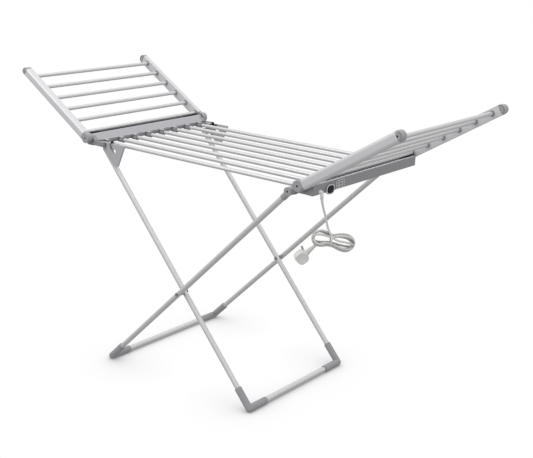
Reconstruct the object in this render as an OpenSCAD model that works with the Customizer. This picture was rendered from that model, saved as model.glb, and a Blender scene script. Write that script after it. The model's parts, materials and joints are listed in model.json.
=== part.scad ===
// Heated winged clothes airer, folding. Millimetres, +Z up, floor at z = 0.
// Long axis along X, near side at -Y, control box on the +X end.

/* [Rack] */
// Distance from the centre to each wing hinge
hinge_x = 428; // [427:1:429]
// Height of the wing hinges
hinge_z = 741; // [740.5:0.5:741.5]
// Height of the rack tube centres
rack_z = 725; // [724.8:0.1:725.2]
// Distance between rack tubes
tube_pitch = 59.8; // [59:0.1:60]
// Rack and wing bar diameter
bar_d = 12; // [10:0.5:12]

/* [Wings] */
// Opening angle of the left wing above level
left_tilt = 31.5; // [30.5:0.5:31.5]
// Opening angle of the right wing above level
right_tilt = 31; // [30.5:0.5:31.5]
// Rail height
rail_h = 30; // [29:0.5:30]
// Distance between wing bars
wing_pitch = 57.5; // [56:0.5:58]

/* [Legs] */
// Leg tube diameter
leg_d = 16; // [14:0.5:16]
// Foot bar diameter
foot_d = 17; // [15:0.5:17]

/* [Control box] */
// Distance from the centre to the face of the control box
face_x = 466; // [464:0.5:467]
// Height of the face
face_h = 29; // [28:0.5:30]

/* [Choice] */
// Node to build

/* [Hidden] */
$fn = 32;
bar_r = bar_d/2;
leg_r = leg_d/2;
foot_r = foot_d/2;
rail_in = 249.5;
rail_out = 270;
tubes_y = [for (i=[0:7]) (i-3.5)*tube_pitch];
pin_r = 3;
run_r = 3.05;
// leg points in the XZ plane
PB = [390, 718];
FB = [-353, 11];
TA = [-386, 706];
FA = [234, 11];
XP = [-35.506, 313.11];
yB = 248.4;
yA = 222.2;
aB = 43.578;
aA = 48.265;
lenB = 1025.6;
lenA = 931.4;
face_z0 = 716;
cord_d = 6;
// cord route: drop from the control box to the tie
drop_pts = [[472,-219,714],[472.2,-218.6,704],[473,-216.5,692],[475.3,-213.5,676],[478.5,-210,660],[481.5,-207.5,644],[484.5,-205.5,629],[488.4,-203,614],[491.5,-200.5,604]];
// cord route: hank to the plug
tail_pts = [[474,-213,587],[468,-218,581],[462.5,-223,576.5],[457.8,-226.6,572.8],[453,-230.5,567.5]];

// ---- helpers
// solid cylinder along Y from y0 to y1
module ycyl(x,z,y0,y1,r,fn=32) translate([x,min(y0,y1),z]) rotate([-90,0,0]) cylinder(h=abs(y1-y0), r=r, $fn=fn);
// solid cylinder along X
module xcyl(x0,x1,y,z,r,fn=32) translate([min(x0,x1),y,z]) rotate([0,90,0]) cylinder(h=abs(x1-x0), r=r, $fn=fn);
// flat plate in XZ between two y values
module xzplate(pts,y0,y1) translate([0,max(y0,y1),0]) rotate([90,0,0]) linear_extrude(height=abs(y1-y0)) polygon(pts);
// leg frame: local +X runs down the leg from its top
module legB() translate([PB[0],0,PB[1]]) rotate([0,180-aB,0]) children();
module legA() translate([TA[0],0,TA[1]]) rotate([0,aA,0]) children();
// wing frame: local +X runs out along the wing
module wing(side) {
  if (side > 0) translate([hinge_x,0,hinge_z]) rotate([0,-right_tilt,0]) children();
  else mirror([1,0,0]) translate([hinge_x,0,hinge_z]) rotate([0,-left_tilt,0]) children();
}
// rail section, y outwards and z up, flat on the inside and round on the outside
module rail2d(g=0) {
  w = rail_out-rail_in; r = 9;
  difference() {
    union() {
      translate([rail_in+g, -2.5-rail_h/2+g]) square([w-r-g, rail_h-2*g]);
      translate([rail_in+g, -2.5-rail_h/2+r]) square([w-2*g, rail_h-2*r]);
      for (s=[-1,1]) translate([rail_out-r, -2.5+s*(rail_h/2-r)]) circle(r=r-g);
    }
  }
}
module rail_prism(u0,u1,side,g=0) {
  if (side < 0) mirror([0,1,0]) translate([u0,0,0]) rotate([90,0,90]) linear_extrude(height=u1-u0) rail2d(g);
  else translate([u0,0,0]) rotate([90,0,90]) linear_extrude(height=u1-u0) rail2d(g);
}

// ---- rack
function screw_x(s) = s>0 ? 398 : -401;
// lower tray of an end housing
module housing(side) {
  s = side;
  difference() {
    union() {
      if (s > 0) {
        translate([392,-236,717]) cube([20.1,472,16]);
        translate([412,-249,717]) cube([30,498,16]);
        for (t=[-1,1]) ycyl(PB[0],PB[1], t*226, t*236, 13, 40);
      } else {
        translate([-442,-249,717]) cube([27,498,16]);
        xzplate([[-416,720.4],[-402.5,720.4],[-397,729.5],[-397,733],[-416,733]], -249, 249);
        // rear lip behind the hinge barrel
        xzplate([[-444.6,722],[-441.5,722],[-441.5,749.5],[-444.6,749.5]], -245, 245);
        for (t=[-1,1]) {
          translate([-412, t>0?239.4:-249, 718.5]) cube([46,9.6,14.5]);
          translate([-400, t>0?224:-231.7, 716.5]) cube([34,7.7,14.5]);
          // end cheek beside the upper shell
          xzplate([[-397,730],[-397,735],[-405,735.3],[-416.5,745],[-420,745],[-420,730]], t*235.8, t*249);
        }
      }
      // half-round collars under the tubes
      for (y=tubes_y) xcyl(s*379, s>0?393:-403.5, y, rack_z, 9);
    }
    // room for the upper shell
    ycyl(s*hinge_x, hinge_z, -250, 250, 11, 48);
    translate([s>0?370:-414, -235.5, 733]) cube([44,471,14]);
    // cavity
    translate([s>0?404:-414, -228, 721.9]) cube([10,456,12]);
    translate([s>0?412:-436, -228, 719.6]) cube([24,456,6.6]);
    // tube sockets
    for (y=tubes_y) xcyl(s*376, s*405, y, rack_z, bar_r);
    // leg pivot bores
    if (s > 0) for (t=[-1,1]) ycyl(PB[0],PB[1], t*220, t*240, pin_r, 24);
    // bracket rivet bores
    if (s < 0) for (t=[-1,1]) ycyl(-375,722, t*222, t*250, 2.5, 20);
    // cable passages to the control box
    if (s > 0) for (y=[-200,-60]) translate([430,y-6,720]) cube([14,12,5.5]);
    // cover screw holes
    for (y=[-232,-59.8,59.8,232]) translate([screw_x(s), y, s>0?722:726.5]) cylinder(h=20, r=1.5, $fn=16);
  }
}
module left_end_housing() color("#9C9CA0") housing(-1);
module right_end_housing() color("#9C9CA0") housing(1);
// upper shell: hinge barrel, sloping front and the scalloped edge over the tubes
module end_cover(s) difference() {
  union() {
    ycyl(s*hinge_x, hinge_z, -249, 249, 10.5, 48);
    xzplate([[s>0?392:-397,733],[s>0?392:-397,735],[s>0?403:-405,735.3],[s*420.58,748.42],[s*428,745],[s*420,733]], -235.5, 235.5);
    for (y=tubes_y) intersection() {
      xcyl(s*380, s>0?393:-398, y, rack_z+0.5, 10.5);
      translate([s>0?378:-398, y-12, 733]) cube([s>0?15:20,24,12]);
    }
  }
  ycyl(s*hinge_x, hinge_z, -220, 220, 8, 40);
  for (t=[-1,1]) ycyl(s*hinge_x, hinge_z, t*215, t*252, pin_r, 24);
  for (y=[-232,-59.8,59.8,232]) translate([screw_x(s), y, 731]) cylinder(h=6, r=2.8, $fn=20);
}
module left_end_cover() color("#BEBEC4") end_cover(-1);
module right_end_cover() color("#BEBEC4") end_cover(1);
module housing_screws() color("#8A8A8E") for (s=[-1,1]) for (y=[-232,-59.8,59.8,232])
  translate([screw_x(s),y,0]) union() { translate([0,0,s>0?724:727]) cylinder(h=s>0?9.2:6.2, r=1.5, $fn=16); translate([0,0,733]) cylinder(h=1.8, r=2.8, $fn=20); }
module rack_tubes() color("#D9DADC") for (y=tubes_y) difference() {
  xcyl(-404,404,y,rack_z,bar_r);
  xcyl(-405,405,y,rack_z,bar_r-1);
}
module heating_cable() color("#8C2F2A") union() {
  for (y=tubes_y) xcyl(-409,409,y,rack_z,2,16);
  for (i=[0,2,4,6]) translate([-412,tubes_y[i]-3,rack_z-3]) cube([6,tube_pitch+6,6]);
  for (i=[1,3,5]) translate([406,tubes_y[i]-3,rack_z-3]) cube([6,tube_pitch+6,6]);
}

// ---- control box
sw_y = -179;
// oval block along X: two round ends and a straight middle
module oval(h,r,e) rotate([0,90,0]) union() {
  translate([0,-e,0]) cylinder(h=h, r=r, $fn=40);
  translate([0,e,0]) cylinder(h=h, r=r, $fn=40);
  translate([-r,-e,0]) cube([2*r,2*e,h]);
}
box_pts = [[442,717],[face_x-2,face_z0],[face_x,face_z0+1.5],[face_x,face_z0+face_h],[440,742],[439.6,733.1],[442,733.1]];
module control_box() color("#808084") difference() {
  xzplate(box_pts, -243, 241);
  xzplate([[442,719],[face_x-2.5,718.5],[face_x-2.5,742],[443,739.6],[442.5,735],[442,731]], -239, 237);
  // switch hole
  translate([face_x-6,sw_y,723.9]) oval(10,11.5,4.5);
  // grommet hole
  translate([face_x-6,-219.5,722.5]) rotate([0,90,0]) cylinder(h=10, r=4, $fn=24);
}
module box_front_cap() color("#808084") xzplate(box_pts, -243, -249);
module box_rear_cap() color("#808084") xzplate(box_pts, 241, 247);
module switch_bezel() color("#D2D2D4") union() {
  difference() {
    union() {
      translate([face_x-4,sw_y,723.9]) oval(4,11.5,4.5);
      translate([face_x,sw_y,723.9]) oval(5,13.4,4.5);
    }
    translate([face_x-6,sw_y,723.9]) oval(14,10.4,4.5);
  }
  // rocker pin
  ycyl(face_x+3,723.9,sw_y-15.5,sw_y+15.5,1,16);
}
rk = [face_x+3,sw_y,723.9];
module rocker_switch() color("#1B1B1D") translate(rk) rotate([0,-6,0]) difference() {
  union() {
    intersection() {
      translate([-2.5,0,0]) oval(7,8.6,3);
      // two flats meeting in a shallow valley
      xzplate([[-2.5,-9],[4,-9],[2.6,0],[4,9],[-2.5,9]], -13, 13);
    }
    translate([-7,-5,-5]) cube([5,10,10]);
  }
  ycyl(0,0,-14,14,1.05,16);
}
module rating_plate() color("#8A8A8E") translate([face_x,-151,717.8]) cube([0.8,40,24.5]);
module strain_relief() color("#ECECEC") union() {
  translate([face_x-4,-219.5,722.5]) rotate([0,90,0]) cylinder(h=4, r=4, $fn=24);
  translate([face_x,-219.5,722.5]) rotate([0,90,0]) cylinder(h=2.5, r=6.5, $fn=32);
  translate([472,-219.2,711.5]) cylinder(h=11, r=4.6, $fn=28);
  translate([472,-219.2,722.5]) sphere(r=4.6, $fn=28);
}
module terminal_block() color("#E8E4D8") translate([446,-210,719]) cube([14,22,8]);
module thermal_cutout() color("#3A3A3C") translate([446,-75,719]) cube([12,30,7.5]);
module supply_leads() color("#7A4A2A") for (q=[[722.0],[725.0]]) ycyl(452,q[0]-0.2,-188,-75,1.3,12);

// ---- pins
module wing_hinge_pins() color("#B8B8BC") for (s=[-1,1]) for (t=[-1,1])
  ycyl(s*hinge_x,hinge_z,t*223,t*264.5,pin_r,24);
module leg_pivot_pins() color("#B8B8BC") for (t=[-1,1])
  ycyl(PB[0],PB[1],t*223,t*259.5,pin_r,24);

// ---- leg lock brackets on the left housing
plate_pts = [[-390,716.6],[-390,731],[-386,732],[-281,732],[-281,728],[-312,664],[-316,661],[-326,660],[-331,664],[-384,716.6]];
module bracket(t) difference() {
  union() {
    xzplate(plate_pts, t*232, t*238);
    // seat for the top of the inner leg, above the leg's whole sweep
    xzplate([[-373.2,706],[-364.6,697.2],[-356.1,697.2],[-356.1,714.8],[-372,714.8]], t*214, t*232);
    xzplate([[-366,714.7],[-356.1,714.7],[-356.1,731],[-366,731]], t*219.5, t*232);
  }
  // window
  xzplate([[-350,740],[-341,740],[-338,721],[-330,716],[-329,708],[-337,707],[-343,713],[-345,716]], t*212, t*240);
  ycyl(-327,709,t*212,t*240,7,32);
  // pocket for the latch lever
  xzplate([[-355.9,700],[-322,700],[-322,740],[-355.9,740]], t*225, t*232.01);
  // rivet bore
  ycyl(-375,722,t*230,t*240,2.5,20);
  // latch pivot bore
  ycyl(-334,726,t*214,t*240,2,20);
}
module lock_bracket_near() color("#A0A0A4") bracket(-1);
module lock_bracket_far() color("#A0A0A4") bracket(1);
module bracket_rivets() color("#C4C4C8") for (t=[-1,1]) { union() {
  ycyl(-375,722,t*225,t*238,2.5,20);
  ycyl(-375,722,t*238,t*239.2,4,24); }
  ycyl(-334,726,t*224,t*238,2,20);
}
module latch(t) difference() {
  union() {
    ycyl(-334,726,t*226,t*231.2,5,24);
    xzplate([[-350,738],[-343,738],[-339,730],[-331,722],[-334,717.8],[-341,716],[-346,717.5],[-345.5,722],[-350,731]], t*226, t*231.2);
  }
  ycyl(-334,726,t*220,t*236,2.05,20);
}
module latch_near() color("#2A2A2C") latch(-1);
module latch_far() color("#2A2A2C") latch(1);

// ---- wings
module rail(s,t) wing(s) difference() {
  rail_prism(17,341.4,t,0);
  rail_prism(16,344,t,1.4);
  for (k=[0:5]) ycyl(27.8+k*wing_pitch,-1, t*(rail_in-1), t*(rail_in+2), bar_r, 24);
}
module left_rail_near() color("#C8C8CC") rail(-1,-1);
module left_rail_far() color("#C8C8CC") rail(-1,1);
module right_rail_near() color("#C8C8CC") rail(1,-1);
module right_rail_far() color("#C8C8CC") rail(1,1);
module wbars(s) wing(s) for (k=[0:5]) difference() {
  ycyl(27.8+k*wing_pitch,-1,-rail_in-1.4,rail_in+1.4,bar_r,24);
  ycyl(27.8+k*wing_pitch,-1,-255,255,bar_r-1,24);
}
module bushes(s) wing(s) for (k=[0:5]) for (t=[-1,1]) difference() {
  ycyl(27.8+k*wing_pitch,-1,t*247.6,t*rail_in,8.2,24);
  ycyl(27.8+k*wing_pitch,-1,t*245,t*252,bar_r,24);
}
module left_bar_bushes() color("#77777B") bushes(-1);
module right_bar_bushes() color("#77777B") bushes(1);
module left_bars() color("#D9DADC") wbars(-1);
module right_bars() color("#D9DADC") wbars(1);
module caps(s) wing(s) for (t=[-1,1]) difference() {
  union() {
    intersection() {
      rail_prism(341.4,360,t,0);
      union() { ycyl(343,-2.5,t*240,t*280,rail_h/2,48); translate([341.4,-300,-2.5-rail_h/2]) cube([1.6,600,rail_h]); }
    }
    rail_prism(330,341.4,t,1.4);
  }
  ycyl(343.5,-2.5,t*261,t*280,3,24);
  ycyl(343.5,-2.5,t*245,t*280,1.5,16);
  // rim grooves on the outer half
  intersection() {
    translate([344.5,-300,-40]) cube([30,600,80]);
    union() {
      difference() { ycyl(343,-2.5,t*269.2,t*280,12.6,40); ycyl(343,-2.5,t*269,t*281,11,40); }
      difference() { ycyl(343,-2.5,t*240,t*250.3,12.6,40); ycyl(343,-2.5,t*239,t*251,11,40); }
    }
  }
}
module left_end_caps() color("#A0A0A4") caps(-1);
module right_end_caps() color("#A0A0A4") caps(1);
module cscrews(s) wing(s) for (t=[-1,1]) union() {
  ycyl(343.5,-2.5,t*250.5,t*261.2,1.5,16);
  ycyl(343.5,-2.5,t*261,t*264,2.9,24);
}
module left_cap_screws() color("#B8B8BC") cscrews(-1);
module right_cap_screws() color("#B8B8BC") cscrews(1);
module knuckle(s,t) wing(s) difference() {
  union() {
    ycyl(0,0,t*250.5,t*270,15.5,48);
    intersection() { rail_prism(0,17,t,0); translate([0,-300,-20]) cube([17,600,40]); }
    rail_prism(17,34,t,1.4);
  }
  // clear of the barrel end
  translate([-20,t>0?240:-250.5,-40]) cube([38,10.5,80]);
  ycyl(0,0,t*245,t*275,run_r,24);
}
module left_knuckle_near() color("#9A9A9E") knuckle(-1,-1);
module left_knuckle_far() color("#9A9A9E") knuckle(-1,1);
module right_knuckle_near() color("#9A9A9E") knuckle(1,-1);
module right_knuckle_far() color("#9A9A9E") knuckle(1,1);

// ---- outer legs
module outer_leg(t) difference() {
  legB() difference() {
    xcyl(6,lenB-10.2,t*yB,0,leg_r,32);
    xcyl(5,lenB-9,t*yB,0,leg_r-1.2,32);
  }
  ycyl(XP[0],XP[1],t*230,t*270,pin_r,20);
}
module outer_leg_near() color("#D9DADC") outer_leg(-1);
module outer_leg_far() color("#D9DADC") outer_leg(1);
module outer_foot_bar() color("#D9DADC") difference() {
  ycyl(FB[0],FB[1],-yB+8,yB-8,foot_r,32);
  ycyl(FB[0],FB[1],-yB,yB,foot_r-1.2,32);
}
// corner elbow: sleeves up the leg and along the bar, meeting in a rounded corner
module corner(p,t,yy,ang,up) difference() {
  union() {
    ycyl(p[0],p[1],t*(yy-75),t*yy,11,32);
    translate([p[0],t*yy,p[1]]) sphere(r=11, $fn=32);
    translate([p[0],t*yy,p[1]]) rotate([0,ang,0]) translate([-up,0,0]) rotate([0,90,0]) cylinder(h=up, r=11, $fn=32);
    translate([p[0]-6,t>0?yy-70:-yy,0]) cube([12,70,4]);
  }
  ycyl(p[0],p[1],t*(yy-80),t*(yy-8),foot_r+0.05,32);
  translate([p[0],t*yy,p[1]]) rotate([0,ang,0]) translate([-up-5,0,0]) rotate([0,90,0]) cylinder(h=up-5, r=leg_r+0.05, $fn=32);
}
module outer_foot_corners() color("#8E8E92") for (t=[-1,1]) corner(FB,t,yB,180-aB,70);
module outer_top_caps() color("#A0A0A4") for (t=[-1,1]) difference() {
  union() {
    ycyl(PB[0],PB[1],t*239.2,t*262.4,12,40);
    legB() xcyl(0,34,t*yB,0,9.4,32);
  }
  legB() xcyl(6,40,t*yB,0,leg_r,32);
  ycyl(PB[0],PB[1],t*235,t*265,run_r,24);
}

// ---- inner legs
module inner_leg(t) difference() {
  legA() difference() {
    xcyl(0,lenA-10.2,t*yA,0,leg_r,32);
    xcyl(-1,lenA-9,t*yA,0,leg_r-1.2,32);
  }
  ycyl(XP[0],XP[1],t*205,t*240,run_r,20);
}
module inner_leg_near() color("#D9DADC") inner_leg(-1);
module inner_leg_far() color("#D9DADC") inner_leg(1);
module inner_foot_bar() color("#D9DADC") difference() {
  ycyl(FA[0],FA[1],-yA+8,yA-8,foot_r,32);
  ycyl(FA[0],FA[1],-yA,yA,foot_r-1.2,32);
}
module inner_foot_corners() color("#8E8E92") for (t=[-1,1]) corner(FA,t,yA,aA,70);
module inner_top_plugs() color("#8E8E92") for (t=[-1,1]) legA() union() {
  xcyl(-2.5,0,t*yA,0,leg_r,32);
  xcyl(0,12,t*yA,0,leg_r-1.2,32);
}
module crossing_rivets() color("#C4C4C8") for (t=[-1,1]) union() {
  ycyl(XP[0],XP[1],t*212.5,t*258,pin_r,20);
  ycyl(XP[0],XP[1],t*211.5,t*213.6,5.5,24);
  ycyl(XP[0],XP[1],t*256.4,t*258.6,5.5,24);
}
module crossing_spacers() color("#8E8E92") for (t=[-1,1]) difference() {
  ycyl(XP[0],XP[1],t*230.7,t*240.4,6.5,24);
  ycyl(XP[0],XP[1],t*230,t*241,pin_r,20);
}

// ---- mains cord, hank and plug
function vsub(a,b) = [a[0]-b[0],a[1]-b[1],a[2]-b[2]];
function unit(a) = a/norm(a);
function tang(p,i) = unit(vsub(p[min(i+1,len(p)-1)], p[max(i-1,0)]));
module tube_along(p,r,n=8) {
  pts = [for (i=[0:len(p)-1]) let(t=tang(p,i), a=unit(cross(t,[0.6,0.8,0.1])), b=cross(t,a))
    for (k=[0:n-1]) p[i]+r*(cos(360*k/n)*a+sin(360*k/n)*b)];
  m = len(p);
  faces = concat(
    [[for (k=[0:n-1]) k]],
    [[for (k=[n-1:-1:0]) (m-1)*n+k]],
    [for (i=[0:m-2]) for (k=[0:n-1]) [i*n+k, (i+1)*n+k, (i+1)*n+(k+1)%n]],
    [for (i=[0:m-2]) for (k=[0:n-1]) [i*n+k, (i+1)*n+(k+1)%n, i*n+(k+1)%n]]);
  polyhedron(points=pts, faces=faces, convexity=4);
}
// hank frame: local X along the hank, local Z up, local Y through it
module hank_frame() translate([496.5,-194,591]) rotate([0,0,40]) rotate([0,5,0]) children();
module cord_drop() color("#E6E6E8") tube_along(drop_pts,3,8);
module cord_tail() color("#E6E6E8") tube_along(tail_pts,3,8);
module cord_hank() color("#E6E6E8") hank_frame() translate([0,16,0]) rotate([90,0,0]) linear_extrude(height=32) union() {
  translate([-36,-21]) square([72,42]);
  translate([-36,0]) circle(r=21, $fn=32);
  translate([36,0]) circle(r=21, $fn=32);
}
module cord_tie() color("#F2F2F2") hank_frame() difference() {
  translate([-9,-18,-23]) cube([7,36,46]);
  translate([-10,-16,-21]) cube([9,32,42]);
}
module plug_frame() translate([457.8,-226.6,572.8]) rotate([0,0,40]) rotate([0,-43,0]) rotate([12,0,0]) children();
module plug_body() color("#ECECEE") plug_frame() translate([0,11,0]) rotate([90,0,0]) linear_extrude(height=22)
  polygon([[3,-5],[3,5],[-18,7.5],[-26,14],[-32,18.5],[-54,18.5],[-61,12],[-61,-12],[-54,-18.5],[-32,-18.5],[-26,-14],[-18,-7.5]]);
module plug_pins() color("#C9C9CC") plug_frame() {
  translate([-53,11,-2]) cube([8,20,4]);
  translate([-31,11,-13]) cube([4,16,6.3]);
  translate([-31,11,6.7]) cube([4,16,6.3]);
}
module plug_fuse_carrier() color("#D8D8DA") plug_frame() translate([-44,11,-4]) cube([12,2,8]);

left_end_housing();
right_end_housing();
left_end_cover();
right_end_cover();
housing_screws();
rack_tubes();
heating_cable();
control_box();
box_front_cap();
box_rear_cap();
switch_bezel();
rocker_switch();
rating_plate();
strain_relief();
terminal_block();
thermal_cutout();
supply_leads();
wing_hinge_pins();
leg_pivot_pins();
lock_bracket_near();
lock_bracket_far();
bracket_rivets();
latch_near();
latch_far();
left_rail_near();
left_rail_far();
left_bars();
left_bar_bushes();
left_end_caps();
left_knuckle_near();
left_knuckle_far();
left_cap_screws();
right_rail_near();
right_rail_far();
right_bars();
right_bar_bushes();
right_end_caps();
right_knuckle_near();
right_knuckle_far();
right_cap_screws();
outer_leg_near();
outer_leg_far();
outer_foot_bar();
outer_foot_corners();
outer_top_caps();
inner_leg_near();
inner_leg_far();
inner_foot_bar();
inner_foot_corners();
inner_top_plugs();
crossing_rivets();
crossing_spacers();
cord_drop();
cord_hank();
cord_tie();
cord_tail();
plug_body();
plug_pins();
plug_fuse_carrier();
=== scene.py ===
import json
import math

import bmesh
import bpy
from mathutils import Matrix, Vector


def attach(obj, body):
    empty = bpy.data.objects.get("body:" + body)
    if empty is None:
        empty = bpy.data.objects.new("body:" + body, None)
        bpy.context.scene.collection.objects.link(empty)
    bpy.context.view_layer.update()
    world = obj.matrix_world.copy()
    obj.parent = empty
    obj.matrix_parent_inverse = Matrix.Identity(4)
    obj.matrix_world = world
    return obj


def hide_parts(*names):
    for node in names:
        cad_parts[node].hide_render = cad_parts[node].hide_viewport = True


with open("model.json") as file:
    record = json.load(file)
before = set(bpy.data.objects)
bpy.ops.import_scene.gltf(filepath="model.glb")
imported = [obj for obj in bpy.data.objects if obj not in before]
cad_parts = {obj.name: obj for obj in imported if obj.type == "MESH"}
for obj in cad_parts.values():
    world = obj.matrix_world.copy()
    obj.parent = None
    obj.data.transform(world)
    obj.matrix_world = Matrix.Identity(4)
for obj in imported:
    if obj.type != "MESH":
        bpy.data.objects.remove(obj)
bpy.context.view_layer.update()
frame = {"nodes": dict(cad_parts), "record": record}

nodes = frame["nodes"]
record = frame["record"]
slot_of = {p["node"]: p["material_slot"] for p in record["subparts"]}
body_of_node = {}
for b, ns in record["behaviour"]["bodies"].items():
    for n in ns:
        body_of_node[n] = b

# ------------------------------------------------------------------ camera
cam_d = bpy.data.cameras.new("camera")
cam = bpy.data.objects.new("camera", cam_d)
bpy.context.scene.collection.objects.link(cam)
yaw, pitch, roll = math.radians(40.061), math.radians(-17.124), math.radians(1.134)
fwd = Vector((-0.61507, 0.73143, -0.29443)).normalized()
right0 = Vector((math.cos(yaw), math.sin(yaw), 0))
right0 = (right0 - fwd * right0.dot(fwd)).normalized()
up0 = right0.cross(fwd)
cr = right0 * math.cos(roll) + up0 * math.sin(roll)
cu = -right0 * math.sin(roll) + up0 * math.cos(roll)
m = Matrix.Identity(4)
for i in range(3):
    m[i][0], m[i][1], m[i][2] = cr[i], cu[i], -fwd[i]
m[0][3], m[1][3], m[2][3] = 1.9147, -2.1573, 1.3631
cam.matrix_world = m
cam_d.sensor_fit = "HORIZONTAL"
cam_d.sensor_width = 36.0
cam_d.lens = 64.37
cam_d.clip_end = 100
bpy.context.scene.camera = cam
bpy.context.scene.view_settings.view_transform = "Standard"


# --------------------------------------------------------------- materials
def material(name, base, rough, metallic=0.0, along=None, stretch=1.0, grain=900.0,
             bump=0.08, bump_dist=0.0002, vary=0.06, rvary=0.08, edge_lighten=0.0, soft=0.0,
             coat=0.0, spec=0.5, mottle=9.0, painted_ao_shade=0.0):
    """A procedural finish with optional painted shade from ambient occlusion. along is the Euler turn that lays
    the grain along X.
    """
    mt = bpy.data.materials.new(name)
    mt.use_nodes = True
    nt = mt.node_tree
    nt.nodes.clear()
    N, L = nt.nodes.new, nt.links.new
    out = N("ShaderNodeOutputMaterial")
    bs = N("ShaderNodeBsdfPrincipled")
    L(bs.outputs[0], out.inputs[0])
    bs.inputs["Metallic"].default_value = metallic
    bs.inputs["Specular IOR Level"].default_value = spec
    if coat:
        bs.inputs["Coat Weight"].default_value = coat
        bs.inputs["Coat Roughness"].default_value = 0.15
    tc = N("ShaderNodeTexCoord")
    src = tc.outputs["Object"]
    if along is not None:
        r = N("ShaderNodeMapping")
        r.inputs["Rotation"].default_value = along
        L(src, r.inputs[0])
        sc = N("ShaderNodeMapping")
        sc.inputs["Scale"].default_value = (stretch, 1, 1)
        L(r.outputs[0], sc.inputs[0])
        src = sc.outputs[0]
    fine = N("ShaderNodeTexNoise")
    fine.inputs["Scale"].default_value = grain
    fine.inputs["Detail"].default_value = 4
    fine.inputs["Roughness"].default_value = 0.6
    L(src, fine.inputs["Vector"])
    big = N("ShaderNodeTexNoise")
    big.inputs["Scale"].default_value = mottle
    big.inputs["Detail"].default_value = 5
    L(tc.outputs["Object"], big.inputs["Vector"])
    # colour
    mix = N("ShaderNodeMix")
    mix.data_type = "RGBA"
    lo = tuple(max(0, c * (1 - vary)) for c in base) + (1,)
    hi = tuple(min(1, c * (1 + vary)) for c in base) + (1,)
    mix.inputs[6].default_value = lo
    mix.inputs[7].default_value = hi
    blend_f = N("ShaderNodeMath")
    blend_f.operation = "MULTIPLY_ADD"
    blend_f.inputs[1].default_value = 0.5
    L(big.outputs["Fac"], blend_f.inputs[0])
    half = N("ShaderNodeMath")
    half.operation = "MULTIPLY"
    half.inputs[1].default_value = 0.5
    L(fine.outputs["Fac"], half.inputs[0])
    L(half.outputs[0], blend_f.inputs[2])
    L(blend_f.outputs[0], mix.inputs[0])
    colour = mix.outputs[2]
    normal = None
    # edge_lighten: colour is made lighter along rounded edges, where the bevelled normal leaves the true normal,
    # varied by the mottle noise
    if edge_lighten or soft:
        bev = N("ShaderNodeBevel")
        bev.samples = 4
        bev.inputs["Radius"].default_value = soft or 0.0007
        geo = N("ShaderNodeNewGeometry")
        dot = N("ShaderNodeVectorMath")
        dot.operation = "DOT_PRODUCT"
        L(bev.outputs[0], dot.inputs[0])
        L(geo.outputs["Normal"], dot.inputs[1])
        rng = N("ShaderNodeMapRange")
        rng.inputs["From Min"].default_value = 0.995
        rng.inputs["From Max"].default_value = 0.85
        rng.inputs["To Min"].default_value = 0.0
        rng.inputs["To Max"].default_value = edge_lighten
        L(dot.outputs["Value"], rng.inputs[0])
        nz = N("ShaderNodeMath")
        nz.operation = "MULTIPLY"
        L(rng.outputs[0], nz.inputs[0])
        L(big.outputs["Fac"], nz.inputs[1])
        ed = N("ShaderNodeMix")
        ed.data_type = "RGBA"
        L(nz.outputs[0], ed.inputs[0])
        L(colour, ed.inputs[6])
        ed.inputs[7].default_value = tuple(min(1, c * 1.5 + 0.08) for c in base) + (1,)
        colour = ed.outputs[2]
        normal = bev.outputs[0]
    # painted shade: the base colour is darkened by ambient occlusion in creases, recesses and between parts
    if painted_ao_shade:
        oc = N("ShaderNodeAmbientOcclusion")
        oc.samples = 6
        oc.inputs["Distance"].default_value = 0.014
        orr = N("ShaderNodeMapRange")
        orr.inputs["From Min"].default_value = 0.30
        orr.inputs["From Max"].default_value = 0.85
        orr.inputs["To Min"].default_value = 1 - painted_ao_shade
        L(oc.outputs["AO"], orr.inputs[0])
        dk = N("ShaderNodeVectorMath")
        dk.operation = "SCALE"
        L(colour, dk.inputs[0])
        L(orr.outputs[0], dk.inputs["Scale"])
        colour = dk.outputs[0]
    L(colour, bs.inputs["Base Color"])
    rr = N("ShaderNodeMapRange")
    rr.inputs["To Min"].default_value = max(0.03, rough - rvary)
    rr.inputs["To Max"].default_value = min(1, rough + rvary)
    L(fine.outputs["Fac"], rr.inputs[0])
    L(rr.outputs[0], bs.inputs["Roughness"])
    bp = N("ShaderNodeBump")
    bp.inputs["Strength"].default_value = bump
    bp.inputs["Distance"].default_value = bump_dist
    L(fine.outputs["Fac"], bp.inputs["Height"])
    if normal is not None:
        L(normal, bp.inputs["Normal"])
    L(bp.outputs[0], bs.inputs["Normal"])
    return mt


R = math.radians
ALONG = {
    "x": (0, 0, 0),
    "y": (0, 0, R(-90)),
    "B": (0, R(43.578), 0),
    "A": (0, R(-48.265), 0),
    "wr": (0, R(31), 0),
    "wl": (0, R(-31.5), 0),
}


# painted_ao_shade in the finishes below sets how strongly painted shade darkens creases and gaps
def tube(d):
    return material("tube_" + d, (0.74, 0.74, 0.75), 0.36, 0.6, ALONG[d], 0.02, 1400, 0.12,
                    0.0001, 0.06, 0.10, painted_ao_shade=0.5)


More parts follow.
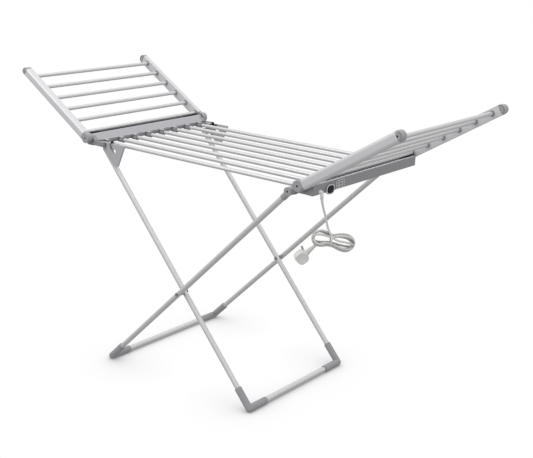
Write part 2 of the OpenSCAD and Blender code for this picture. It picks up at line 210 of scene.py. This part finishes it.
TUBE = {d: tube(d) for d in ("x", "y", "B", "A")}
RAIL = {d: material("rail_" + d, (0.75, 0.75, 0.77), 0.38, 0.30, ALONG[d], 0.05, 1100, 0.10,
                    0.0001, 0.05, 0.08, edge_lighten=0.4, soft=0.0020, painted_ao_shade=0.5) for d in ("wr", "wl")}
MAT = {
    "housing": material("housing", (0.33, 0.33, 0.35), 0.50, 0, None, 1, 2200, 0.20, 0.0002,
                        0.08, 0.10, 0.5, 0.0009, painted_ao_shade=0.6),
    "cover": material("cover", (0.46, 0.46, 0.49), 0.45, 0, None, 1, 2200, 0.18, 0.0002, 0.06,
                      0.08, 0.4, 0.0007, painted_ao_shade=0.75),
    "cap": material("cap", (0.40, 0.40, 0.42), 0.44, 0, None, 1, 2000, 0.20, 0.0002, 0.08,
                    0.10, 0.5, 0.0010, painted_ao_shade=0.7),
    "foot": material("foot", (0.35, 0.35, 0.365), 0.48, 0, None, 1, 1800, 0.25, 0.0002, 0.10,
                     0.12, 0.5, 0.0010, painted_ao_shade=0.5),
    "box": material("box", (0.34, 0.34, 0.355), 0.44, 0, None, 1, 2000, 0.22, 0.0002, 0.08,
                    0.10, 0.5, 0.0009, painted_ao_shade=0.5),
    "bezel": material("bezel", (0.78, 0.78, 0.79), 0.24, 0.6, None, 1, 1500, 0.05, 0.0001,
                      0.05, 0.06, 0.2, 0.0005, painted_ao_shade=0.6),
    "black": material("black", (0.006, 0.006, 0.007), 0.42, 0, None, 1, 2500, 0.12, 0.0001,
                      0.2, 0.06, 0.2, 0.0005, spec=0.3),
    "plate": material("plate", (0.26, 0.26, 0.275), 0.36, 0, None, 1, 1500, 0.05, 0.0001, 0.06,
                      0.05),
    "white": material("white", (0.83, 0.83, 0.82), 0.34, 0, None, 1, 1500, 0.12, 0.0001, 0.04,
                      0.07, 0.1, 0.0008, painted_ao_shade=0.6),
    "cord": material("cord", (0.72, 0.72, 0.70), 0.40, 0, None, 1, 1300, 0.14, 0.0001, 0.05,
                     0.08, painted_ao_shade=0.8),
    "steel": material("steel", (0.35, 0.35, 0.36), 0.34, 0.9, None, 1, 1600, 0.10, 0.0001,
                      0.10, 0.08, 0.2, 0.0004, painted_ao_shade=0.6),
    "brass": material("brass", (0.62, 0.58, 0.48), 0.25, 0.95, None, 1, 1200, 0.06, 0.0001,
                      0.08, 0.08),
    "bracket": material("bracket", (0.50, 0.50, 0.52), 0.44, 0, None, 1, 2000, 0.20, 0.0002,
                        0.08, 0.10, 0.5, 0.0010, painted_ao_shade=0.6),
    "hood": material("hood", (0.97, 0.97, 0.97), 0.34, 0, None, 1, 1500, 0.12, 0.0001, 0.02,
                     0.07, 0.1, 0.0008),
    "gold": material("gold", (0.50, 0.49, 0.47), 0.32, 0.9, None, 1, 1200, 0.06, 0.0001,
                     0.08, 0.08),
    "cable": material("cable", (0.35, 0.05, 0.04), 0.5, 0, None, 1, 1200, 0.1, 0.0001),
    "block": material("block", (0.60, 0.57, 0.48), 0.5, 0, None, 1, 1500, 0.1, 0.0001),
    # painted light: this pale lid colour stands for light falling on the control box top
    "lid": material("lid", (0.80, 0.80, 0.82), 0.44, 0, None, 1, 2000, 0.20, 0.0002, 0.05,
                    0.05),
    "lines": material("lines", (0.98, 0.98, 0.98), 0.5, 0, None, 1, 1500, 0.05, 0.0001),
}
SPECIAL = {
    "strain_relief": MAT["hood"], "plug_pins": MAT["gold"],
    "lock_bracket_near": MAT["bracket"], "lock_bracket_far": MAT["bracket"],
    "rack_tubes": TUBE["x"],
    "left_bars": TUBE["y"], "right_bars": TUBE["y"],
    "outer_foot_bar": TUBE["y"], "inner_foot_bar": TUBE["y"],
    "outer_leg_near": TUBE["B"], "outer_leg_far": TUBE["B"],
    "inner_leg_near": TUBE["A"], "inner_leg_far": TUBE["A"],
    "left_rail_near": RAIL["wl"], "left_rail_far": RAIL["wl"],
    "right_rail_near": RAIL["wr"], "right_rail_far": RAIL["wr"],
}


def finish_of(node):
    return SPECIAL.get(node) or MAT[slot_of[node]]


for name, ob in nodes.items():
    obs = ob if isinstance(ob, (list, tuple)) else [ob]
    for o in obs:
        if not o.material_slots:
            o.data.materials.append(finish_of(name))
        for s in o.material_slots:
            s.material = finish_of(name)


# ------------------------------------------------------------ mesh helpers
def add(name, verts, faces, mat, body, smooth=None):
    me = bpy.data.meshes.new(name)
    me.from_pydata([tuple(v) for v in verts], [], faces)
    me.update()
    bm = bmesh.new()
    bm.from_mesh(me)
    bmesh.ops.recalc_face_normals(bm, faces=bm.faces)
    bm.to_mesh(me)
    bm.free()
    o = bpy.data.objects.new(name, me)
    bpy.context.scene.collection.objects.link(o)
    me.materials.append(mat)
    if smooth is not None:
        me.shade_smooth()
        me.set_sharp_from_angle(angle=R(smooth))
    if body:
        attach(o, body)
    return o


def frame_at(path, i):
    a, b = path[max(i - 1, 0)], path[min(i + 1, len(path) - 1)]
    return (b - a).normalized()


def swept(path, radii, n=20):
    """Vertices and faces of a tube with a radius at each point of the path."""
    vs, fs = [], []
    t0 = frame_at(path, 0)
    ref = Vector((0.3, 0.5, 0.81))
    a = (ref - t0 * ref.dot(t0)).normalized()
    for i, p in enumerate(path):
        t = frame_at(path, i)
        a = (a - t * a.dot(t)).normalized()
        b = t.cross(a)
        for k in range(n):
            q = 2 * math.pi * k / n
            vs.append(p + radii[i] * (math.cos(q) * a + math.sin(q) * b))
    for i in range(len(path) - 1):
        for k in range(n):
            fs.append((i * n + k, i * n + (k + 1) % n, (i + 1) * n + (k + 1) % n, (i + 1) * n + k))
    fs.append(tuple(reversed(range(n))))
    fs.append(tuple(range((len(path) - 1) * n, len(path) * n)))
    return vs, fs


# -------------------------------------------------------------------- cord
D = 0.006
drop = [(472, -219, 714), (472.2, -218.6, 704), (473, -216.5, 692), (475.3, -213.5, 676),
        (478.5, -210, 660), (481.5, -207.5, 644), (484.5, -205.5, 629)]
drop = [Vector(p) / 1000 for p in drop]
HO = Vector((0.4965, -0.194, 0.591))
HR = Matrix.Rotation(R(40), 3, "Z") @ Matrix.Rotation(R(5), 3, "Y")


def hank(x, y, z):
    return HO + HR @ Vector((x, y, z))


# each turn of the hank has its own length, radius, turn about the long axis and slope
TURNS = 4.6
half = [0.0335, 0.0365, 0.0310, 0.0372, 0.0320, 0.0345]
rad = [0.0219, 0.0213, 0.0219, 0.0213, 0.0217, 0.0218]
twist = [66, 34, 4, -28, -56, -74]
fan = [-12, 0, -12, -1, -10, -7]
hk = []
steps = 44


def at(table, u):
    i = min(int(u), len(table) - 2)
    return table[i] * (1 - u + i) + table[i + 1] * (u - i)


for s in range(int(TURNS * steps) + 1):
    u = s / steps
    r = at(rad, u)
    h = at(half, u)
    # the racetrack, clockwise from the top at x = -0.0085
    per = 4 * h + 2 * math.pi * r
    d = ((u % 1.0) * per + (h - 0.0085)) % per
    if d < 2 * h:
        x, z = -h + d, r
    elif d < 2 * h + math.pi * r:
        q = (d - 2 * h) / r
        x, z = h + r * math.sin(q), r * math.cos(q)
    elif d < 4 * h + math.pi * r:
        x, z = h - (d - 2 * h - math.pi * r), -r
    else:
        q = (d - 4 * h - math.pi * r) / r
        x, z = -h - r * math.sin(q), -r * math.cos(q)
    # drawn in at the tie
    z *= 1 - 0.36 * math.exp(-((x + 0.006) / 0.019) ** 2)
    w = R(at(twist, u))
    y, z = -z * math.sin(w), z * math.cos(w)
    f = R(at(fan, u))
    x2 = -0.006 + (x + 0.006) * math.cos(f) - z * math.sin(f)
    z2 = (x + 0.006) * math.sin(f) + z * math.cos(f)
    hk.append(hank(x2, y, z2))
tail = [Vector((457.8, -226.6, 572.8)) / 1000, Vector((453, -230.5, 568)) / 1000]


def bridge(p0, d0, p3, d3, a, b, n=24):
    """Points of a smooth join between two ends."""
    p1, p2 = p0 + d0 * a, p3 - d3 * b
    out = []
    for k in range(1, n - 1):
        t = k / (n - 1)
        out.append(p0 * (1 - t) ** 3 + p1 * 3 * (1 - t) ** 2 * t + p2 * 3 * (1 - t) * t * t + p3 * t ** 3)
    return out


hk = hk[3:]
route = (drop + bridge(drop[-1], (drop[-1] - drop[-2]).normalized(), hk[0],
                       (hk[1] - hk[0]).normalized(), 0.012, 0.016)
         + hk + bridge(hk[-1], (hk[-1] - hk[-2]).normalized(), tail[0],
                       (tail[1] - tail[0]).normalized(), 0.014, 0.012) + tail)


# even the spacing, then relax the joins a little
def resample(pts, step):
    out = [pts[0].copy()]
    left = step
    for a, b in zip(pts, pts[1:]):
        seg = (b - a).length
        pos = 0.0
        while seg - pos >= left:
            pos += left
            out.append(a.lerp(b, pos / seg))
            left = step
        left -= seg - pos
    if (out[-1] - pts[-1]).length > step * 0.3:
        out.append(pts[-1].copy())
    return out


route = resample(route, 0.0025)
for _ in range(10):
    nw = [route[0]]
    for i in range(1, len(route) - 1):
        nw.append(route[i] * 0.5 + (route[i - 1] + route[i + 1]) * 0.25)
    nw.append(route[-1])
    route = nw
cd = bpy.data.curves.new("mains_cord", "CURVE")
cd.dimensions = "3D"
sp = cd.splines.new("POLY")
sp.points.add(len(route) - 1)
for i, p in enumerate(route):
    sp.points[i].co = (p.x, p.y, p.z, 1)
cd.bevel_depth = D / 2
cd.bevel_resolution = 5
cd.use_fill_caps = True
cord = bpy.data.objects.new("mains_cord", cd)
bpy.context.scene.collection.objects.link(cord)
cd.materials.append(MAT["cord"])
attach(cord, "rack")
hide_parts("cord_drop", "cord_hank", "cord_tail")

# ribbed sleeve where the cord leaves the box
sl, rr = [], []
for i in range(13):
    f = i / 12
    k = f * 0.024
    p = drop[0].lerp(drop[1], min(1, k / 0.010)) if k < 0.010 else drop[1].lerp(drop[2], (k - 0.010) / 0.0122)
    sl.append(p)
    base = 0.0044 - 0.0010 * f
    rr.append(base - (0.0002 if i % 2 else 0))
v, f_ = swept(sl, rr, 24)
sleeve = add("cord_sleeve", v, f_, MAT["white"], "rack", 35)

# the tie round the middle of the hank: a flat band that follows the bundle
ring = []
for k in range(40):
    q = 2 * math.pi * k / 40
    ring.append((0.0176 * math.cos(q), 0.0176 * math.sin(q)))
vs, fs = [], []
prof = [(-0.0022, 0.0), (-0.0018, 0.0007), (0.0018, 0.0007), (0.0022, 0.0), (0.0018, -0.0005), (-0.0018, -0.0005)]
for yy, zz in ring:
    rl = math.hypot(yy, zz)
    for px, pr in prof:
        s_ = (rl + pr) / rl
        vs.append(hank(-0.006 + px, yy * s_, zz * s_))
n = len(prof)
for i in range(40):
    j = (i + 1) % 40
    for k in range(n):
        fs.append((i * n + k, i * n + (k + 1) % n, j * n + (k + 1) % n, j * n + k))
tie = add("hank_tie", vs, fs, MAT["white"], "rack", 40)
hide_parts("cord_tie")

# plug: rounded moulding and ribbed neck
PO = Vector((0.4578, -0.2266, 0.5728))
PR = Matrix.Rotation(R(40), 3, "Z") @ Matrix.Rotation(R(-43), 3, "Y") @ Matrix.Rotation(R(12), 3, "X")


def plug(x, y, z):
    return PO + PR @ Vector((x, y, z))


def superloop(x0, x1, hw, y0, y1, e=2.6, n=40):
    pass


outline = []
cx, hx, hz = -0.0435, 0.0175, 0.0182
for k in range(48):
    q = 2 * math.pi * k / 48
    c_, s_ = math.cos(q), math.sin(q)
    x = cx + hx * math.copysign(abs(c_) ** 0.62, c_)
    z = hz * math.copysign(abs(s_) ** 0.62, s_)
    # shoulders narrow towards the cord
    if x > -0.036:
        z *= 1 - 0.42 * ((x + 0.036) / 0.010) ** 1.6 if x < -0.026 else 0.58
    outline.append((x, z))
layers = [(-0.0110, 0.82), (-0.0105, 0.90), (-0.0090, 0.965), (-0.0060, 1.0), (0.0070, 1.0),
          (0.0095, 0.975), (0.0108, 0.92), (0.0110, 0.86)]
vs, fs = [], []
for y, s_ in layers:
    for x, z in outline:
        vs.append(plug(cx + (x - cx) * s_, y, z * s_))
n = len(outline)
for i in range(len(layers) - 1):
    for k in range(n):
        fs.append((i * n + k, i * n + (k + 1) % n, (i + 1) * n + (k + 1) % n, (i + 1) * n + k))
# shallow dish on the back
b0 = len(vs)
for s_, y in ((0.70, -0.0108), (0.64, -0.0101)):
    for x, z in outline:
        vs.append(plug(cx + (x - cx) * s_, y, z * s_))
for k in range(n):
    fs.append((k, (k + 1) % n, b0 + (k + 1) % n, b0 + k))
    fs.append((b0 + k, b0 + (k + 1) % n, b0 + n + (k + 1) % n, b0 + n + k))
fs.append(tuple(range(b0 + n, b0 + 2 * n)))
fs.append(tuple(range((len(layers) - 1) * n, len(layers) * n)))
body = add("plug_moulding", vs, fs, MAT["white"], "rack", 32)
path, rr = [], []
for i in range(33):
    f = i / 32
    path.append(plug(0.003 - 0.031 * f, 0, 0))
    base = 0.0043 + 0.0042 * f
    rr.append(base - (0.0011 if (i % 4 in (1, 2) and 2 < i < 27) else 0))
v, f_ = swept(path, rr, 24)
neck = add("plug_neck", v, f_, MAT["white"], "rack", 30)
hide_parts("plug_body")

# ---------------------------------------------------- blank rating plate
X = 0.4668
y0, y1, z0, z1 = -0.1500, -0.1120, 0.7188, 0.7413
bars = []
w = 0.0014


def bar(ya, yb, za, zb):
    bars.append((ya, yb, za, zb))


bar(y0, y1, z0, z0 + w); bar(y0, y1, z1 - w, z1)
bar(y0, y0 + w, z0, z1); bar(y1 - w, y1, z0, z1)
for f in (0.34, 0.66):
    bar(y0, y1, z0 + (z1 - z0) * f - w / 2, z0 + (z1 - z0) * f + w / 2)
for f in (0.36, 0.70):
    bar(y0 + (y1 - y0) * f - w / 2, y0 + (y1 - y0) * f + w / 2, z0, z1)
vs, fs = [], []
for ya, yb, za, zb in bars:
    b = len(vs)
    for xx in (X - 0.0001, X + 0.00018):
        vs += [(xx, ya, za), (xx, yb, za), (xx, yb, zb), (xx, ya, zb)]
    fs += [(b, b + 3, b + 2, b + 1), (b + 4, b + 5, b + 6, b + 7)]
    for k in range(4):
        fs.append((b + k, b + (k + 1) % 4, b + 4 + (k + 1) % 4, b + 4 + k))
lines = add("plate_lines", vs, fs, MAT["lines"], "rack")

# ------------------------------------------------------- painted shade strips and a painted light strip
def prism(name, outline, y0, y1, mat, body):
    vs = [(x, y0, z) for x, z in outline] + [(x, y1, z) for x, z in outline]
    n = len(outline)
    fs = [tuple(reversed(range(n))), tuple(range(n, 2 * n))]
    for k in range(n):
        fs.append((k, (k + 1) % n, n + (k + 1) % n, n + k))
    o = add(name, vs, fs, mat, body)
    return o


# painted shade: thin black prisms stand for the shaded gap between the lowest left wing bar and the housing top,
# taller at both ends
prism("painted_gap_shade", [(-0.4446, 0.7493), (-0.4415, 0.7493), (-0.4415, 0.7506), (-0.4446, 0.7506)],
      -0.244, 0.244, MAT["black"], "rack")
for k, (ya, yb) in enumerate(((-0.2445, -0.200), (0.185, 0.2445))):
    prism("lip_seal_end_%d" % (k + 1), [(-0.4448, 0.7465), (-0.4413, 0.7465), (-0.4413, 0.7518),
                                        (-0.4448, 0.7518)], ya, yb, MAT["black"], "rack")
# painted shade: a black strip stands for the shaded gap along the top of the control box
prism("box_gap_painted_shade", [(0.4512, 0.7431), (0.4538, 0.7434), (0.4538, 0.7453), (0.4512, 0.7453)],
      -0.240, 0.205, MAT["black"], "rack")
# painted light: a pale strip on the box's sloping top makes it read as lit under the wing
prism("box_top_painted_light", [(0.4540, 0.74365), (0.4657, 0.7450), (0.4657, 0.7457), (0.4540, 0.74435)],
      -0.2425, 0.2460, MAT["lid"], "rack")
# painted shade: taller black pieces darken the far end of that gap
for k, (ya, yb, top) in enumerate(((0.185, 0.202, 0.7462), (0.202, 0.220, 0.7472),
                                   (0.220, 0.2405, 0.7480))):
    prism("lid_seam_end_%d" % (k + 1), [(0.4480, 0.7427), (0.4575, 0.7439), (0.4575, top),
                                        (0.4480, top)], ya, yb, MAT["black"], "rack")

# ------------------------------------------------------------------- stage
def stage_material(name, level, painted_contact_shadow):
    fm = bpy.data.materials.new(name)
    fm.use_nodes = True
    nt = fm.node_tree
    nt.nodes.clear()
    out = nt.nodes.new("ShaderNodeOutputMaterial")
    em = nt.nodes.new("ShaderNodeEmission")
    em.inputs["Strength"].default_value = level
    nt.links.new(em.outputs[0], out.inputs[0])
    # painted shadow: the glowing floor is darkened by ambient occlusion under and beside the rack
    if painted_contact_shadow:
        painted_ao_shade = nt.nodes.new("ShaderNodeAmbientOcclusion")
        painted_ao_shade.samples = 16
        painted_ao_shade.inputs["Distance"].default_value = 0.17
        rg = nt.nodes.new("ShaderNodeMapRange")
        rg.inputs["From Min"].default_value = 0.30
        rg.inputs["From Max"].default_value = 0.985
        rg.inputs["To Min"].default_value = 0.30
        nt.links.new(painted_ao_shade.outputs["AO"], rg.inputs[0])
        nt.links.new(rg.outputs[0], em.inputs["Color"])
    else:
        em.inputs["Color"].default_value = (1, 1, 1, 1)
    return fm


def camera_only(o):
    o.visible_diffuse = False
    o.visible_glossy = False
    o.visible_transmission = False
    o.visible_volume_scatter = False
    o.visible_shadow = False


LEVEL = 1.0
me = bpy.data.meshes.new("floor")
me.from_pydata([(-25, -25, 0), (25, -25, 0), (25, 25, 0), (-25, 25, 0)], [], [(0, 1, 2, 3)])
floor = bpy.data.objects.new("floor", me)
me.materials.append(stage_material("floor", LEVEL, True))
bpy.context.scene.collection.objects.link(floor)
camera_only(floor)
bm = bmesh.new()
bmesh.ops.create_uvsphere(bm, u_segments=48, v_segments=24, radius=40)
me = bpy.data.meshes.new("backdrop")
bm.to_mesh(me)
bm.free()
dome = bpy.data.objects.new("backdrop", me)
me.materials.append(stage_material("backdrop", LEVEL, False))
bpy.context.scene.collection.objects.link(dome)
camera_only(dome)

# soft light: a studio sky, bright above and dim below
world = bpy.data.worlds.new("world")
bpy.context.scene.world = world
world.use_nodes = True
nt = world.node_tree
bg = nt.nodes["Background"]
tc = nt.nodes.new("ShaderNodeTexCoord")
sx = nt.nodes.new("ShaderNodeSeparateXYZ")
nt.links.new(tc.outputs["Generated"], sx.inputs[0])
rg = nt.nodes.new("ShaderNodeMapRange")
rg.inputs["From Min"].default_value = -0.55
rg.inputs["From Max"].default_value = 0.75
rg.inputs["To Min"].default_value = 0.38
rg.inputs["To Max"].default_value = 0.92
nt.links.new(sx.outputs[2], rg.inputs[0])
nt.links.new(rg.outputs[0], bg.inputs[1])
bg.inputs[0].default_value = (1, 1, 1, 1)


def area(name, loc, target, size, power):
    ld = bpy.data.lights.new(name, "AREA")
    ld.shape = "RECTANGLE"
    ld.size, ld.size_y = size
    ld.energy = power
    o = bpy.data.objects.new(name, ld)
    bpy.context.scene.collection.objects.link(o)
    o.location = loc
    d = Vector(target) - Vector(loc)
    o.rotation_euler = d.to_track_quat("-Z", "Y").to_euler()
    return o


area("key", (-1.6, -2.6, 3.2), (0, 0, 0.5), (1.8, 1.8), 24)
area("top", (0.4, 0.6, 3.6), (0, 0, 0.5), (2.6, 2.0), 14)
